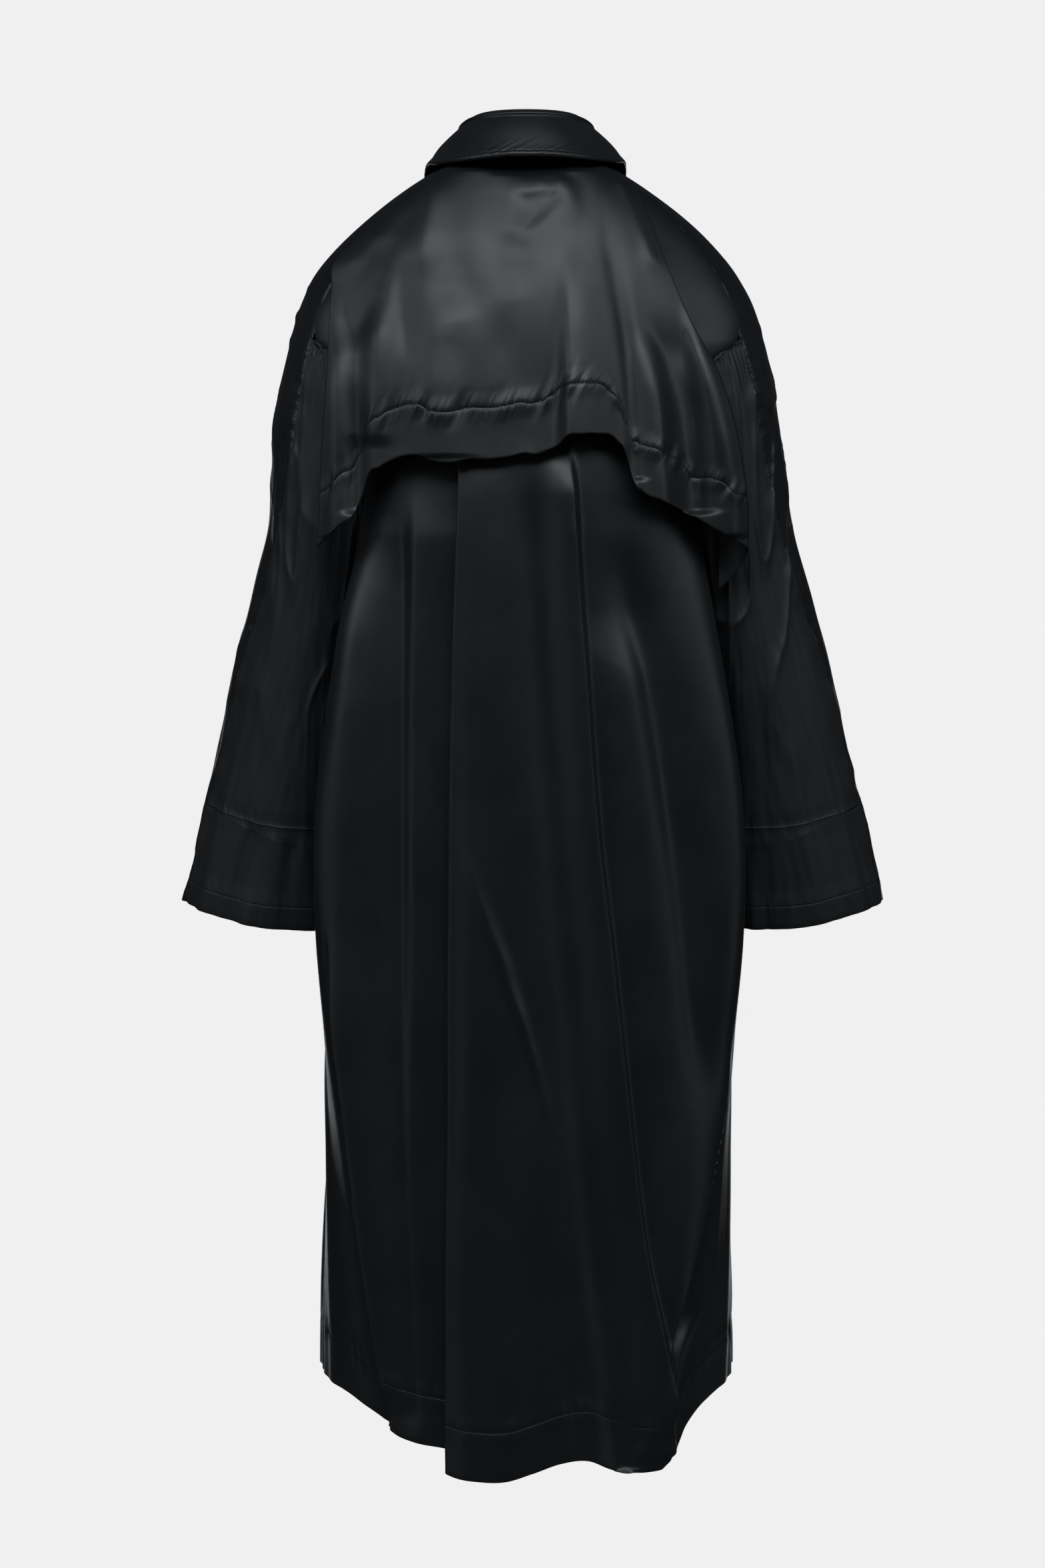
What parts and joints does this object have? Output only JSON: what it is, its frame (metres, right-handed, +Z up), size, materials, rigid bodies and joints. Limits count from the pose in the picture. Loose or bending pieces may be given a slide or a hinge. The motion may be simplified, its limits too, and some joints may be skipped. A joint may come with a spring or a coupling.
{
  "type": "caped satin coat",
  "caption": "Long satin coat with a turn-down collar, raglan shoulders, wide sleeves, a loose cape flap over the back and a front that opens.",
  "frame": {"origin": "centre of the neck, level with the back neck seam, where the garment hangs from the wearer's shoulders", "axes": "+Z up the wearer, +Y to the wearer's front, +X to the wearer's right"},
  "size_m": [0.6474, 0.3237, 1.2139],
  "materials": {
    "shell_satin": "black satin, semi-gloss",
    "facing_satin": "dull underside of the satin",
    "tape": "matte woven tape",
    "press_stud": "black enamel"
  },
  "bodies": {
    "coat_body": {"back_yoke": "shell_satin", "back_panel_right": "shell_satin", "back_panel_left": "shell_satin", "back_box_pleat": "shell_satin", "side_panel_right": "shell_satin", "side_panel_left": "shell_satin", "shoulder_saddle_right": "shell_satin", "shoulder_saddle_left": "shell_satin", "front_panel_right": "shell_satin", "front_panel_left": "shell_satin", "hem_facing": "facing_satin", "back_neck_facing": "facing_satin", "neck_label": "tape", "pocket_bag_right": "facing_satin", "pocket_bag_left": "facing_satin", "pocket_welt_right": "shell_satin", "pocket_welt_left": "shell_satin", "collar_stand": "facing_satin", "collar_leaf_right": "shell_satin", "collar_leaf_left": "shell_satin", "collar_wing_right": "shell_satin", "collar_wing_left": "shell_satin", "flap_yoke": "shell_satin", "hanger_loop": "tape"},
    "collar_back": {"collar_leaf_back": "shell_satin", "undercollar_back": "facing_satin"},
    "cape_flap": {"storm_flap": "shell_satin", "flap_hem_facing": "facing_satin"},
    "sleeve_right": {"back_sleeve_right": "shell_satin", "top_sleeve_right": "shell_satin", "cuff_facing_right": "facing_satin"},
    "sleeve_left": {"back_sleeve_left": "shell_satin", "top_sleeve_left": "shell_satin", "cuff_facing_left": "facing_satin"},
    "front_outer": {"front_edge_right": "shell_satin", "front_facing_right": "facing_satin", "stud_cap_1": "press_stud", "stud_cap_2": "press_stud", "stud_cap_3": "press_stud", "stud_cap_4": "press_stud", "stud_cap_5": "press_stud", "stud_socket_1": "press_stud", "stud_socket_2": "press_stud", "stud_socket_3": "press_stud", "stud_socket_4": "press_stud", "stud_socket_5": "press_stud"},
    "front_inner": {"front_edge_left": "shell_satin", "front_facing_left": "facing_satin", "stud_post_1": "press_stud", "stud_post_2": "press_stud", "stud_post_3": "press_stud", "stud_post_4": "press_stud", "stud_post_5": "press_stud"}
  },
  "joints": [
    {"name": "collar_lift", "type": "hinge", "parent": "coat_body", "child": "collar_back", "pos_m": [0, -0.0475, 0.052], "axis": [-1, 0, 0], "range_deg": [0, 75]},
    {"name": "flap_lift", "type": "hinge", "parent": "coat_body", "child": "cape_flap", "pos_m": [0, -0.122, -0.0925], "axis": [-1, 0, 0], "range_deg": [0, 60]},
    {"name": "sleeve_right_swing", "type": "hinge", "parent": "coat_body", "child": "sleeve_right", "pos_m": [0.2195, 0, -0.1485], "axis": [0, -1, 0], "range_deg": [0, 60]},
    {"name": "sleeve_left_swing", "type": "hinge", "parent": "coat_body", "child": "sleeve_left", "pos_m": [-0.2195, 0, -0.1485], "axis": [0, 1, 0], "range_deg": [0, 60]},
    {"name": "front_outer_open", "type": "hinge", "parent": "coat_body", "child": "front_outer", "pos_m": [0.052, 0.112, -0.075], "axis": [0.0862, 0.0215, -0.996], "range_deg": [0, 70]},
    {"name": "front_inner_open", "type": "hinge", "parent": "coat_body", "child": "front_inner", "pos_m": [-0.052, 0.112, -0.075], "axis": [0.0862, -0.0215, 0.996], "range_deg": [0, 4.2]}
  ],
  "couplings": [
    {"joint": "front_inner_open", "follows": "front_outer_open", "ratio": 0.06}
  ]
}
